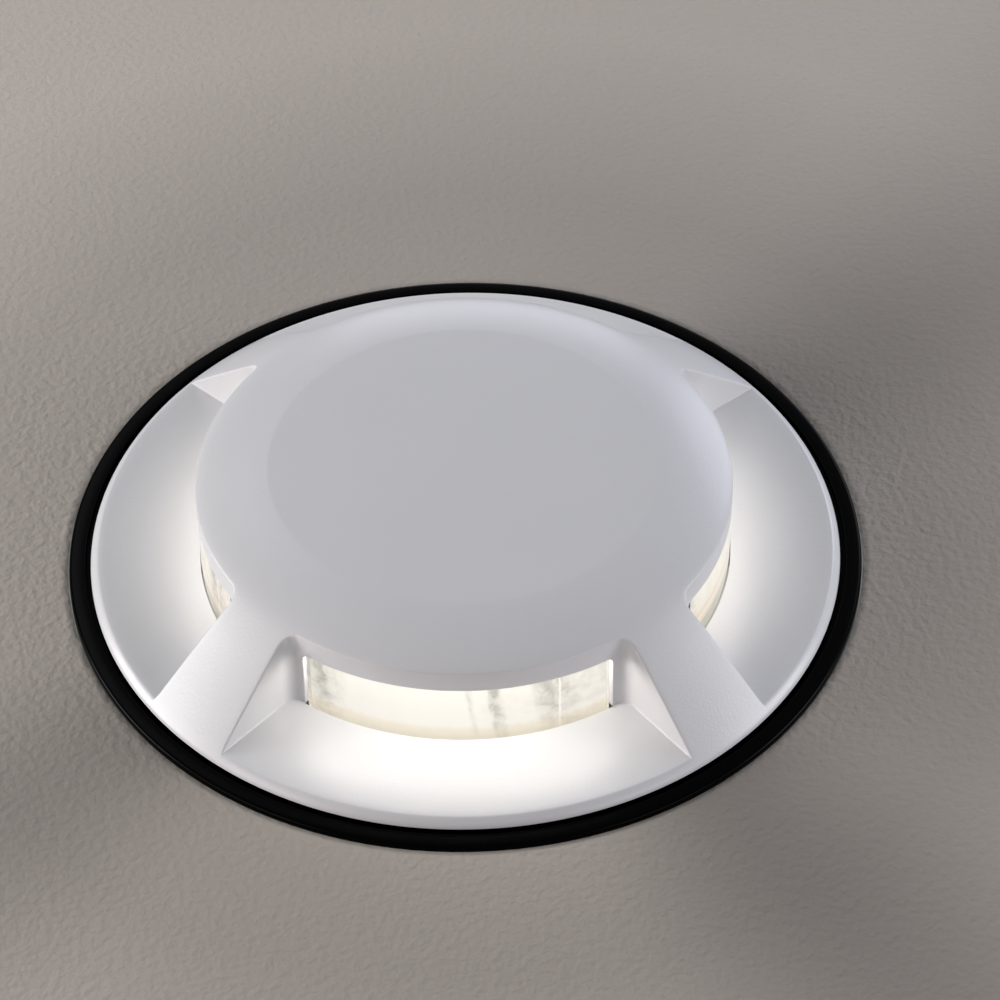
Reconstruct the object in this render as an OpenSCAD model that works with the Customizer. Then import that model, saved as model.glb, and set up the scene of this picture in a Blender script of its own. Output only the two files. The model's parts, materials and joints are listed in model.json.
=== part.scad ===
// Recessed step light: a walk-over head with four side windows, in an installation sleeve.
// Millimetres, +Z up. The origin lies on the axis at the underside of the sleeve's collar,
// the level where the collar rests on the paving. The windows face +X, +Y, -X and -Y.

/* [Cover] */
// Outer diameter of the white cover
rim_d = 120; // [114:0.5:130]
// Thickness of the cover's plate under the window floors
rim_t = 2; // [1.6:0.1:2.6]
// Fall of the cover's edge below the window floors
rim_fall = 1.4; // [0.8:0.1:1.6]
// Diameter of the raised disc
disc_d = 84.4; // [80:0.2:86]
// Height of the disc's edge above the window floors
disc_h = 14; // [13.4:0.1:19.4]
// Diameter of the flat crown on the disc
crown_d = 61.7; // [40:0.5:72]
// Rise of the crown above the disc's edge
crown_rise = 3.4; // [2:0.1:6]
// Thickness of the cover's top
top_t = 3.2; // [2.5:0.1:4]
// Opening angle of each window between its side walls
window_angle = 74; // [60:1:76]
// Radius of the fillets in each window's back corners
corner_r = 2.6; // [1:0.1:2.6]
// Angle between a light slot's end and the window's side wall
slot_inset = 3.5; // [3.5:0.1:8]
// Height of each light slot above the window floor
slot_h = 10.4; // [8:0.1:10.6]
// Thickness of the wall that the light slots pass through
fascia_t = 1.8; // [1.4:0.1:2.4]
// Depth of the cover's spigot below its seat
spigot_h = 5.2; // [4.8:0.1:7]

/* [Lens and light engine] */
// Wall thickness of the lens cup
lens_t = 2.2; // [1.6:0.1:3]
// Thickness of the lens flange
lens_flange_t = 1.9; // [1.5:0.1:2.2]
// Width of the lens flange beyond the slots
lens_flange_w = 2.6; // [2:0.1:3]
// Thickness of the lens gasket
lens_gasket_t = 0.8; // [0.5:0.1:1]
// Diameter of the LED board
board_d = 71; // [68:0.5:72]
// Thickness of the LED board
board_t = 1.6; // [1:0.1:2]
// Thickness of the thermal pad
pad_t = 0.3; // [0.2:0.1:0.6]
// LED chips behind each window
chips_per_window = 3; // [1:1:4]
// Side of an LED chip
chip_w = 3.5; // [2.8:0.1:3.8]
// Wall thickness of the light deflector
deflector_t = 1.5; // [1:0.1:2]

/* [Sleeve] */
// Width of the black ring around the cover
ring_w = 3.5; // [2:0.1:8]
// Thickness of the sleeve's collar
collar_t = 2.2; // [2:0.1:4]
// Depth of the cover's seat in the collar
seat_depth = 1; // [0.8:0.1:1.2]
// Outer diameter of the sleeve's barrel
sleeve_d = 108; // [106:0.5:110]
// Wall thickness of the barrel
sleeve_wall = 2.5; // [2:0.1:3]
// Length of the barrel below the collar
sleeve_h = 110; // [100:1:160]
// Thickness of the sleeve's base
base_t = 3; // [2:0.5:6]
// Diameter of the outlet in the sleeve's base
outlet_d = 32.4; // [20:0.2:40]
// Diameter of the two side entries
entry_d = 20.4; // [16:0.2:20.8]
// Height of the side entries' centres above the base
entry_h = 15; // [14:0.5:16]

/* [Head] */
// Thickness of the rim gasket
gasket_t = 0.8; // [0.5:0.1:1.2]
// Width of the rim gasket
gasket_w = 5.4; // [3:0.1:5.6]
// Thickness of the housing's mounting plate
plate_t = 4; // [4:0.1:6]
// Outer diameter of the housing's cup
body_d = 88; // [86:0.5:88]
// Wall thickness of the housing's cup
body_wall = 3; // [2.5:0.1:4]
// Length of the housing's cup below the plate
body_h = 42.8; // [42:0.1:46]
// Thickness of a cooling rib
fin_t = 1.8; // [1.2:0.1:2]
// Angle between cooling ribs
fin_step = 15; // [9:1:18]
// Length of the driver module
driver_l = 56; // [50:1:58]
// Width of the driver module
driver_w = 34; // [28:1:36]
// Height of the driver module
driver_h = 18; // [15:0.5:19]
// Thickness of the bottom lid
lid_t = 4; // [3:0.1:5]
// Thickness of the lid gasket
lid_gasket_t = 1; // [0.6:0.1:1.5]
// Diameter of the supply cable that the gland takes
cable_d = 7; // [5:0.1:8]

/* [Spring clips] */
// Height of a clip's pin below the housing's plate
clip_drop = 13; // [12:0.5:14]
// Length of a clip's arm from its pin to the bend that bears on the sleeve
clip_l = 16; // [12:0.5:18]
// Width of a clip's arm
clip_w = 11; // [8:0.5:11]
// Thickness of the spring steel
clip_t = 0.8; // [0.6:0.1:1]
// Diameter of a clip's pin
clip_pin_d = 2; // [1.6:0.1:2.2]

/* [Hidden] */
$fn = 96;

windows = 4;
quarter = 360 / windows;
fit_gap = 0.15;      // between pieces of one assembly that fit into each other
run_gap = 0.5;       // between the head and the sleeve's bore
touch_gap = 0.3;     // between moving pieces at rest
cut = 1;             // how far a cutting solid reaches past the face that it cuts

// Radii of the cover, the sleeve and the lens
rim_r = rim_d / 2;
disc_r = disc_d / 2;
crown_r = crown_d / 2;
fascia_r = disc_r + 0.2;
fascia_in = fascia_r - fascia_t;
lens_bore_r = fascia_r + 0.1;
lens_r = fascia_in - touch_gap;
lens_in = lens_r - lens_t;
lens_pad_r = lens_bore_r - fit_gap;
pocket_r = lens_bore_r + lens_flange_w + fit_gap;
collar_r = rim_r + ring_w;
seat_r = rim_r + 0.9;
barrel_r = sleeve_d / 2;
bore_r = barrel_r - sleeve_wall;
spigot_r = bore_r - run_gap;
gasket_out = rim_r - 1.6;
body_r = body_d / 2;
body_in = body_r - body_wall;
board_r = board_d / 2;

// Levels, from the paving up
seat_z = collar_t - seat_depth;
cover_z = seat_z + gasket_t;
floor_z = cover_z + rim_t;
edge_z = floor_z - rim_fall;
disc_z = floor_z + disc_h;
crown_z = disc_z + crown_rise;
slot_z = floor_z + slot_h;
lens_top = slot_z - touch_gap;
ceiling_z = slot_z + 0.6;

// Levels, from the paving down
deck_z = cover_z - spigot_h;
lens_foot = deck_z + lens_gasket_t;
pocket_z = lens_foot + lens_flange_t;
plate_z = deck_z - plate_t;
body_z = plate_z - body_h;
lid_z = body_z - lid_gasket_t;
lid_under = lid_z - lid_t;
base_z = -sleeve_h;

// The cover's curved outlines: half of the angle that each arc turns through
shoulder_turn = 12;
flank_turn = 9;
edge_t = 0.25;
undercut = 1.4;
arc_steps = 8;

// Sleeve
collar_edge = 0.8;
socket_h = 0.6;
tongue_step = 1.5;
plug_reach = 5;
plug_lip_w = 1.6;
plug_lip_t = 3;

// Metric screws: thread diameter, head diameter, head height
m3 = [3, 5.5, 3];
m25 = [2.5, 4.6, 1.6];
m3_low = [3, 5.2, 1.6];
thread_gap = 0.1;
cover_screw_r = (pocket_r + spigot_r) / 2;
cover_screw_l = plate_t + 8;
lid_screw_r = body_in - 3.5;
lid_boss_r = 3.8;
lid_boss_h = 16;
lid_screw_l = lid_t + 8;
board_screw_r = board_r - 4.5;
board_bite = board_t + pad_t + 2.6;
tab_bite = 2.5;
clip_bite = 2.8;
screw_angle = quarter / 2;

// LED board
pad_top = deck_z + pad_t;
board_top = pad_top + board_t;
chip_h = 0.8;
chip_r = board_r - 8.5;
chip_step = 14;
hub_r = 8;
hub_t = 2.6;
deflector_r = lens_in - 1.2;
deflector_top = lens_top - lens_t - touch_gap;
deflector_turn = 12;
lead_r = 0.8;
lead_hole = [-14, 26.5];
grommet_r = 3.2;
grommet_bore = 1.9;
grommet_lip = 1.2;
board_hole_r = grommet_r - 0.4;
pad_hole_r = grommet_r + 0.3;
lead_pair = 2.1;
lead_bite = 2.5;
connector = [7, 5, 3];
connector_angle = atan2(lead_hole[1], lead_hole[0]);
connector_r = norm(lead_hole) - 7.5;

// Driver and terminals, hung under the plate
driver_z = plate_z - driver_h;
tab_l = 8;
tab_t = 1.6;
driver_screw_x = driver_l / 2 + tab_l / 2;
terminal = [30, 17, 12];
terminal_z = driver_z - terminal[2];
poles = 3;
pole_step = 9;
pole_d = 4.4;
pole_h = 7;
lead_gap = 5;
wire_z = terminal_z + 8.6;

// Cooling ribs around the cup
rib_out = spigot_r - 0.8;
rib_foot = 6;
rib_off_clip = 15;

// Gland on the axis of the lid, and the vent beside it
gland_hole_r = 8.1;
gland_thread_r = 7.95;
gland_bore_r = cable_d / 2 + 1;
gland_hex_r = 12.7;
gland_hex_h = 4;
gland_oring_t = 1;
gland_collar_r = gland_bore_r + 3.9;
gland_collar_h = 9;
gland_z = lid_under - gland_oring_t;
gland_hex_z = gland_z - gland_hex_h;
gland_nut_h = 12.5;
gland_nut_r = gland_collar_r + 3.8;
gland_nut_z = gland_hex_z - gland_nut_h - 1.5;
gland_nut_wall = 2;
gland_seal_r = gland_collar_r - 1.4;
locknut_t = 4.2;
gland_top = lid_z + locknut_t + 1;
locknut_r = 11;
oring_w = 2.4;
vent_pos = [0, -27];
vent_hole_r = 6;
vent_head_r = 8;
vent_head_h = 5;
vent_bore_r = 1.5;
vent_seal_t = 1;
vent_seal_w = 0.8;
vent_head_z = lid_under - vent_seal_t;
vent_top = lid_z + 2;

// Spring clips, drawn on the +X side
boss_x = body_r + 1;
boss_w = 17;
bracket_t = 1;
bracket_w = 16;
ear_t = 1;
ear_h = 5.2;
ear_past = 1.7;
ear_in = bracket_w / 2 - ear_t;
pin_r = clip_pin_d / 2;
pin_head = 0.8;
eye_bore = pin_r + 0.05;
eye_r = pin_r + 0.9;
pin_x = boss_x + bracket_t + touch_gap + eye_r;
pin_z = plate_z - clip_drop;
clip_screw_z = pin_z + 7;
bracket_top = clip_screw_z + 3.4;
bracket_low = pin_z - 5;
bend_x = sqrt(pow(bore_r - touch_gap, 2) - pow(clip_w / 2, 2));
bend_z = pin_z - clip_l;
tip_x = bend_x - 3.3;
tip_z = bend_z - 6;
wire_r = 0.45;
coil_r = pin_r + 0.6;
coil_pitch = 1;
coil_turns = 3;
coil_steps = 12;
coil_y = ear_in - 0.05 - wire_r - coil_turns * coil_pitch;
coil_leg = 4.5;
arm_eye_y = [touch_gap - ear_in, coil_y - wire_r - fit_gap];

// Points of an arc from a to b, which bulges to the left of the way from a to b
function arc_points(a, b, turn, steps = arc_steps) =
    let (way = (b - a) / norm(b - a), left = [-way[1], way[0]], r = norm(b - a) / (2 * sin(turn)),
         centre = (a + b) / 2 - left * r * cos(turn))
    [for (i = [0:steps]) let (s = turn - 2 * turn * i / steps)
        centre + r * (left * cos(s) - way * sin(s))];

// A place in the plane by its radius and angle
function polar(r, a) = r * [cos(a), sin(a)];

function unit(v) = v / norm(v);

// Directions of a route at its points
function directions(p) = [for (i = [0:len(p) - 1])
    unit(p[min(i + 1, len(p) - 1)] - p[max(i - 1, 0)])];

// A normal carried along the directions without twist
function carried(t, n, i = 0) = i >= len(t) ? [] :
    let (m = unit(n - t[i] * (n * t[i]))) concat([m], carried(t, m, i + 1));

// A smooth curve through all points of a route
function smooth(p, steps = 4) = concat([for (i = [0:len(p) - 2]) for (k = [0:steps - 1])
    let (a = p[max(i - 1, 0)], b = p[i], c = p[i + 1], d = p[min(i + 2, len(p) - 1)], t = k / steps)
    b + t * (c - a) / 2 + t * t * (a - 2.5 * b + 2 * c - d / 2)
      + t * t * t * (-a / 2 + 1.5 * b - 1.5 * c + d / 2)], [p[len(p) - 1]]);

// A tube swept along a route
module tube(route, r, side, sides = 8) {
    t = directions(route);
    n = carried(t, side);
    last = (len(route) - 1) * sides;
    points = [for (i = [0:len(route) - 1]) for (k = [0:sides - 1])
        let (a = 360 * k / sides) route[i] + r * (cos(a) * n[i] + sin(a) * cross(t[i], n[i]))];
    walls = [for (i = [0:len(route) - 2]) for (k = [0:sides - 1])
        let (j = i * sides, next = (k + 1) % sides)
        [j + k, j + sides + k, j + sides + next, j + next]];
    ends = [[for (k = [0:sides - 1]) k], [for (k = [sides - 1:-1:0]) last + k]];
    polyhedron(points, concat(walls, ends));
}

module ring(outer, inner, h) {
    difference() {
        cylinder(r = outer, h = h);
        translate([0, 0, -cut]) cylinder(r = inner, h = h + 2 * cut);
    }
}

module at_corners(r) {
    for (k = [0:windows - 1]) rotate([0, 0, screw_angle + k * quarter]) translate([r, 0, 0]) children();
}

module at_windows() {
    for (k = [0:windows - 1]) rotate([0, 0, k * quarter]) children();
}

// A socket screw with its head's seat at z = 0 and its shank upwards
module screw(size, l) {
    difference() {
        union() {
            cylinder(d = size[0], h = l);
            translate([0, 0, -size[2]]) cylinder(d = size[1], h = size[2]);
        }
        translate([0, 0, -size[2] - cut]) cylinder(d = size[0] * 0.95, h = size[2] * 0.6 + cut, $fn = 6);
    }
}

// The hole for a screw, with its seat at z = 0 and the hole upwards
module screw_hole(size, l) {
    translate([0, 0, -cut]) cylinder(d = size[0] + 2 * thread_gap, h = l + cut + 2 * thread_gap);
}

// Its radius is the one to the corners
module hex_prism(r, h) {
    cylinder(r = r, h = h, $fn = 6);
}

// Sleeve

// The collar sits on the barrel, rests on the paving and carries the head in its rebate
module sleeve_collar() {
    color([0.03, 0.03, 0.035]) difference() {
        rotate_extrude() polygon(concat(
            [[barrel_r + fit_gap, 0], [collar_r, 0]],
            arc_points([collar_r, collar_t - collar_edge], [collar_r - collar_edge, collar_t], 45, 4),
            [[bore_r, collar_t], [bore_r, socket_h], [barrel_r + fit_gap, socket_h]]));
        translate([0, 0, seat_z]) cylinder(r = seat_r, h = collar_t);
    }
}

module sleeve_barrel() {
    color([0.03, 0.03, 0.035]) difference() {
        union() {
            translate([0, 0, base_z]) ring(barrel_r, bore_r, sleeve_h);
            translate([0, 0, -cut]) ring(barrel_r - tongue_step, bore_r, cut + socket_h);
        }
        for (side = [0, 180]) rotate([0, 0, side]) translate([bore_r - plug_reach, 0, base_z + entry_h])
            rotate([0, 90, 0]) cylinder(d = entry_d, h = sleeve_wall + 2 * plug_reach);
    }
}

module sleeve_base() {
    color([0.03, 0.03, 0.035]) translate([0, 0, base_z]) ring(bore_r - fit_gap, outlet_d / 2, base_t);
}

// Rubber plugs that close the two side entries from inside
module entry_plugs() {
    plug_r = entry_d / 2 - fit_gap;
    inner = bore_r - plug_reach;
    color([0.08, 0.08, 0.09]) for (side = [0, 180]) rotate([0, 0, side])
        intersection() {
            translate([0, 0, base_z + entry_h]) rotate([0, 90, 0]) difference() {
                union() {
                    translate([0, 0, inner]) cylinder(r = plug_r, h = plug_reach + sleeve_wall + cut);
                    translate([0, 0, inner + 1]) cylinder(r = plug_r + plug_lip_w, h = plug_lip_t);
                }
                translate([0, 0, inner - cut]) cylinder(r = plug_r / 2, h = plug_lip_t + 2 * cut);
            }
            translate([0, 0, base_z]) union() {
                cylinder(r = bore_r - fit_gap, h = 2 * entry_h);
                intersection() {
                    cylinder(r = barrel_r - fit_gap, h = 2 * entry_h);
                    translate([bore_r / 2, 0, entry_h]) rotate([0, 90, 0])
                        cylinder(r = plug_r, h = bore_r);
                }
            }
        }
}

module rim_gasket() {
    color([0.06, 0.06, 0.065]) translate([0, 0, seat_z])
        ring(gasket_out, gasket_out - gasket_w, gasket_t);
}

// Cover

// Keeps the fillet in one back corner of the window that faces +X
module corner_post() {
    half = window_angle / 2;
    post_r = fascia_r + corner_r;
    start = half - asin(corner_r / post_r);
    wall_r = sqrt(post_r * post_r - corner_r * corner_r);
    fillet = [for (i = [0:arc_steps]) let (a = start + 180 + (half - start - 90) * i / arc_steps)
        polar(post_r, start) + polar(corner_r, a)];
    linear_extrude(crown_z + 2 * cut) polygon(concat(fillet,
        [polar(wall_r, half + 3), polar(fascia_r - cut, half + 3), polar(fascia_r - cut, start)]));
}

// The space that one window takes out of the cover
module window_space() {
    difference() {
        rotate([0, 0, -window_angle / 2]) rotate_extrude(angle = window_angle) polygon([
            [fascia_r, floor_z], [rim_r + 2 * cut, floor_z],
            [rim_r + 2 * cut, crown_z + cut], [fascia_r, crown_z + cut]]);
        corner_post();
        mirror([0, 1, 0]) corner_post();
    }
}

// The slot behind it that lets the light out
module slot_space() {
    slot = window_angle - 2 * slot_inset;
    rotate([0, 0, -slot / 2]) rotate_extrude(angle = slot)
        translate([fascia_in - cut, floor_z]) square([fascia_t + 2 * cut, slot_h]);
}

module cover() {
    color([0.93, 0.93, 0.94]) difference() {
        rotate_extrude() polygon(concat(
            [[0, crown_z]],
            arc_points([crown_r, crown_z], [disc_r, disc_z], shoulder_turn),
            arc_points([disc_r, disc_z], [rim_r, edge_z], flank_turn),
            [[rim_r, edge_z - edge_t], [rim_r - undercut, cover_z], [spigot_r, cover_z],
             [spigot_r, deck_z], [pocket_r, deck_z], [pocket_r, pocket_z], [lens_bore_r, pocket_z],
             [lens_bore_r, floor_z], [fascia_in, floor_z], [fascia_in, ceiling_z],
             [crown_r - 2, crown_z - top_t], [0, crown_z - top_t]]));
        at_windows() window_space();
        at_windows() slot_space();
        at_corners(cover_screw_r) translate([0, 0, plate_z]) screw_hole(m3, cover_screw_l);
    }
}

module cover_screws() {
    color([0.75, 0.76, 0.78]) at_corners(cover_screw_r) translate([0, 0, plate_z])
        screw(m3, cover_screw_l);
}

// Lens and light engine

module lens() {
    rib_angle = quarter - window_angle + 2 * slot_inset + 0.8;
    color([0.95, 0.95, 0.9, 0.5]) difference() {
        rotate_extrude() polygon([
            [0, lens_top], [lens_pad_r, lens_top], [lens_pad_r, pocket_z],
            [pocket_r - fit_gap, pocket_z], [pocket_r - fit_gap, lens_foot],
            [lens_in, lens_foot], [lens_in, lens_top - lens_t], [0, lens_top - lens_t]]);
        at_corners(0) rotate([0, 0, -rib_angle / 2]) rotate_extrude(angle = rib_angle)
            translate([lens_r, floor_z - touch_gap]) square([cut + lens_pad_r - lens_r, slot_h + cut]);
    }
}

module lens_gasket() {
    color([0.7, 0.2, 0.15]) translate([0, 0, deck_z])
        ring(pocket_r - 2 * fit_gap, lens_in + 0.6, lens_gasket_t);
}

// White dish that turns the LEDs' light sideways to the windows
module deflector() {
    slope = arc_points([hub_r, board_top + 0.4], [deflector_r, deflector_top - deflector_t],
        deflector_turn);
    back = arc_points([deflector_r - deflector_t, deflector_top],
        [hub_r - deflector_t, board_top + hub_t], -deflector_turn);
    color([0.97, 0.97, 0.95]) difference() {
        rotate_extrude() polygon(concat([[0, board_top], [hub_r, board_top]], slope,
            [[deflector_r, deflector_top]], back, [[0, board_top + hub_t]]));
        translate([0, 0, board_top + hub_t]) mirror([0, 0, 1]) screw_hole(m3, hub_t + cut);
    }
}

module deflector_screw() {
    color([0.75, 0.76, 0.78]) translate([0, 0, board_top + hub_t]) mirror([0, 0, 1])
        screw(m3, hub_t + board_bite);
}

// Screw holes that the LED board, the thermal pad and the plate share
module board_holes() {
    translate([0, 0, board_top]) {
        at_corners(board_screw_r) mirror([0, 0, 1]) screw_hole(m25, board_bite);
        mirror([0, 0, 1]) screw_hole(m3, board_bite);
    }
}

// A hole for the LED leads up from a level
module lead_passage(r, z, h) {
    translate([lead_hole[0], lead_hole[1], z - cut]) cylinder(r = r, h = h + 2 * cut);
}

module led_board() {
    color([0.92, 0.93, 0.92]) difference() {
        translate([0, 0, pad_top]) cylinder(r = board_r, h = board_t);
        board_holes();
        lead_passage(board_hole_r, pad_top, board_t);
    }
}

module led_chips() {
    first = -chip_step * (chips_per_window - 1) / 2;
    color([0.95, 0.85, 0.35]) at_windows() for (i = [0:chips_per_window - 1])
        rotate([0, 0, first + i * chip_step])
            translate([chip_r - chip_w / 2, -chip_w / 2, board_top]) cube([chip_w, chip_w, chip_h]);
}

module board_screws() {
    color([0.75, 0.76, 0.78]) translate([0, 0, board_top]) at_corners(board_screw_r)
        mirror([0, 0, 1]) screw(m25, board_bite);
}

module thermal_pad() {
    color([0.55, 0.6, 0.68]) difference() {
        translate([0, 0, deck_z]) cylinder(r = board_r, h = pad_t);
        board_holes();
        lead_passage(pad_hole_r, deck_z, pad_t);
    }
}

module board_connector() {
    color([0.9, 0.9, 0.86]) rotate([0, 0, connector_angle])
        translate([connector_r - connector[0] / 2, -connector[1] / 2, board_top]) difference() {
            cube(connector);
            for (side = [-0.5, 0.5])
                translate([connector[0] - lead_bite, connector[1] / 2 + side * lead_pair, connector[2] / 2])
                    rotate([0, 90, 0]) cylinder(r = lead_r + fit_gap, h = lead_bite + cut);
        }
}

// Rubber grommet that guides the LED leads through the housing's plate
module deck_grommet() {
    color([0.1, 0.1, 0.11]) translate([lead_hole[0], lead_hole[1], 0]) difference() {
        union() {
            translate([0, 0, plate_z]) cylinder(r = grommet_r, h = plate_t);
            translate([0, 0, plate_z - grommet_lip]) cylinder(r = grommet_r + grommet_lip, h = grommet_lip);
        }
        translate([0, 0, plate_z - grommet_lip - cut])
            cylinder(r = grommet_bore, h = grommet_lip + plate_t + 2 * cut);
    }
}

// Two leads from the driver's side up through the plate to the board's connector
module led_leads() {
    outward = polar(1, connector_angle);
    across = polar(lead_pair, connector_angle + 90);
    hole_r = norm(lead_hole);
    end_r = connector_r + connector[0] / 2 - lead_bite;
    top = board_top + connector[2] / 2;
    start_z = driver_z + driver_h / 2;
    start_x = driver_w / 2 * lead_hole[0] / lead_hole[1];
    path = [
        [hole_r - 5, start_z - 0.8], [hole_r - 1, start_z + 1.4], [hole_r, plate_z - 3.5], [hole_r, deck_z],
        [hole_r, board_top - 0.4], [hole_r - 1, top - 0.4], [hole_r - 2.4, top],
        [end_r + 2.8, top], [end_r, top]
    ];
    color([0.75, 0.12, 0.1]) for (s = [-0.5, 0.5]) {
        route = concat(
            [for (y = [touch_gap, 1.5]) [start_x + s * across[0], driver_w / 2 + y, start_z]],
            [for (p = path) concat(p[0] * outward + s * across, [p[1]])]);
        tube(smooth(route), lead_r, [1, 1, 1]);
    }
}

// Housing

// Screw holes around the cover's spigot, through the plate
module cover_screw_holes() {
    at_corners(cover_screw_r) translate([0, 0, plate_z]) screw_hole(m3, cover_screw_l);
}

// The housing is one casting: this plate, the cup under it and the ribs around the cup
module housing_plate() {
    color([0.62, 0.63, 0.65]) difference() {
        translate([0, 0, plate_z]) cylinder(r = spigot_r, h = plate_t);
        cover_screw_holes();
        board_holes();
        for (side = [-1, 1]) translate([side * driver_screw_x, 0, plate_z - tab_t])
            screw_hole(m3, tab_t + tab_bite);
        lead_passage(grommet_r + thread_gap, plate_z, plate_t);
    }
}

module housing_cup() {
    boss_low = bracket_low - 1;
    color([0.62, 0.63, 0.65]) difference() {
        union() {
            difference() {
                union() {
                    translate([0, 0, body_z]) cylinder(r = body_r, h = body_h);
                    for (side = [0, 180]) rotate([0, 0, side])
                        translate([body_r - body_wall, -boss_w / 2, boss_low])
                            cube([boss_x - body_r + body_wall, boss_w, plate_z - boss_low]);
                }
                translate([0, 0, body_z - cut]) cylinder(r = body_in, h = body_h + 2 * cut);
            }
            intersection() {
                translate([0, 0, lid_z]) at_corners(lid_screw_r) cylinder(r = lid_boss_r, h = lid_boss_h);
                translate([0, 0, lid_z]) cylinder(r = body_in + thread_gap, h = body_h);
            }
        }
        at_corners(lid_screw_r) translate([0, 0, lid_under]) screw_hole(m3, lid_screw_l);
        for (side = [0, 180]) rotate([0, 0, side]) translate([boss_x, 0, clip_screw_z])
            rotate([0, -90, 0]) screw_hole(m3, clip_bite);
    }
}

// The ribs leave room for the clips and for the heads of the cover's screws
module cooling_ribs() {
    off_head = asin((m3[1] + fin_t) / 2 / cover_screw_r) + 2;
    color([0.62, 0.63, 0.65]) for (a = [fin_step / 2:fin_step:360])
        if (min(a % 180, 180 - a % 180) > rib_off_clip && abs(a % quarter - screw_angle) > off_head)
            rotate([0, 0, a]) translate([body_r, -fin_t / 2, body_z + rib_foot])
                cube([rib_out - body_r, fin_t, body_h - rib_foot]);
}

module driver() {
    color([0.16, 0.17, 0.19]) difference() {
        union() {
            translate([-driver_l / 2, -driver_w / 2, driver_z]) cube([driver_l, driver_w, driver_h]);
            translate([-driver_l / 2 - tab_l, -tab_l / 2, plate_z - tab_t])
                cube([driver_l + 2 * tab_l, tab_l, tab_t]);
        }
        for (side = [-1, 1]) translate([side * driver_screw_x, 0, plate_z - tab_t])
            screw_hole(m3, tab_t);
    }
}

module driver_screws() {
    color([0.75, 0.76, 0.78]) for (side = [-1, 1])
        translate([side * driver_screw_x, 0, plate_z - tab_t]) screw(m3, tab_t + tab_bite);
}

module terminal_block() {
    color([0.88, 0.88, 0.84]) difference() {
        translate([-terminal[0] / 2, -terminal[1] / 2, terminal_z]) cube(terminal);
        for (i = [0:poles - 1]) translate([(i - (poles - 1) / 2) * pole_step, 0, 0]) {
            translate([0, 0, terminal_z - cut]) cylinder(d = pole_d, h = pole_h + cut);
            translate([0, -terminal[1], wire_z]) rotate([-90, 0, 0])
                cylinder(r = lead_r + fit_gap, h = 2 * terminal[1]);
        }
    }
}

module terminal_screws() {
    color([0.8, 0.7, 0.35]) for (i = [0:poles - 1])
        translate([(i - (poles - 1) / 2) * pole_step, 0, terminal_z + 1]) difference() {
            cylinder(d = pole_d - 2 * fit_gap, h = pole_h - 1);
            translate([-pole_d, -0.4, -cut]) cube([2 * pole_d, 0.8, 1 + cut]);
        }
}

// Two leads from the terminals to the driver's input end
module input_leads() {
    side_y = terminal[1] / 2;
    color([0.1, 0.25, 0.6]) for (i = [0, 1]) {
        pole_x = (1 - i) * pole_step;
        out_y = side_y + lead_gap + i * 2.4;
        end_y = 3 + i * 4;
        route = [
            [pole_x, side_y - 5, wire_z],
            [pole_x, side_y - 1, wire_z],
            [pole_x, side_y + 1.5, wire_z],
            [pole_x + 3, out_y, wire_z],
            [driver_l / 2 - 1, out_y, wire_z + 1],
            [driver_l / 2 + 4, end_y + 3, driver_z + driver_h / 2 - 3],
            [driver_l / 2 + 3, end_y, driver_z + driver_h / 2],
            [driver_l / 2 + touch_gap, end_y, driver_z + driver_h / 2]
        ];
        tube(smooth(route), lead_r, [0, 0, 1]);
    }
}

// Lid, gland and vent

module lid() {
    color([0.6, 0.61, 0.63]) difference() {
        translate([0, 0, lid_under]) cylinder(r = body_r, h = lid_t);
        at_corners(lid_screw_r) translate([0, 0, lid_under]) screw_hole(m3, lid_t);
        translate([0, 0, lid_under - cut]) cylinder(r = gland_hole_r, h = lid_t + 2 * cut);
        translate([vent_pos[0], vent_pos[1], lid_under - cut])
            cylinder(r = vent_hole_r, h = lid_t + 2 * cut);
    }
}

module lid_gasket() {
    color([0.7, 0.2, 0.15]) translate([0, 0, lid_z]) ring(body_r - 0.3, body_in + 0.3, lid_gasket_t);
}

module lid_screws() {
    color([0.75, 0.76, 0.78]) at_corners(lid_screw_r) translate([0, 0, lid_under])
        screw(m3, lid_screw_l);
}

module vent_plug() {
    low = vent_head_z - vent_head_h;
    color([0.15, 0.15, 0.16]) translate([vent_pos[0], vent_pos[1], 0]) difference() {
        union() {
            translate([0, 0, low]) hex_prism(vent_head_r, vent_head_h);
            translate([0, 0, low]) cylinder(r = vent_hole_r - fit_gap, h = vent_top - low);
        }
        translate([0, 0, low - cut]) cylinder(r = vent_bore_r, h = vent_top - low + 2 * cut);
    }
}

module vent_seal() {
    color([0.7, 0.2, 0.15]) translate([vent_pos[0], vent_pos[1], vent_head_z])
        ring(vent_hole_r + vent_seal_w, vent_hole_r, vent_seal_t);
}

module gland_body() {
    low = gland_hex_z - gland_collar_h;
    color([0.1, 0.1, 0.11]) difference() {
        union() {
            translate([0, 0, gland_hex_z]) hex_prism(gland_hex_r, gland_hex_h);
            translate([0, 0, gland_hex_z]) cylinder(r = gland_thread_r, h = gland_top - gland_hex_z);
            translate([0, 0, low]) cylinder(r = gland_collar_r, h = gland_collar_h + cut);
        }
        translate([0, 0, low - cut]) cylinder(r = gland_bore_r, h = gland_top - low + 2 * cut);
        translate([0, 0, low - cut]) cylinder(r = gland_seal_r + fit_gap, h = gland_collar_h + cut);
    }
}

module gland_oring() {
    color([0.7, 0.2, 0.15]) translate([0, 0, gland_z])
        ring(gland_hole_r + oring_w, gland_hole_r, gland_oring_t);
}

module gland_locknut() {
    color([0.12, 0.12, 0.13]) translate([0, 0, lid_z]) difference() {
        hex_prism(locknut_r, locknut_t);
        translate([0, 0, -cut]) cylinder(r = gland_hole_r, h = locknut_t + 2 * cut);
    }
}

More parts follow.
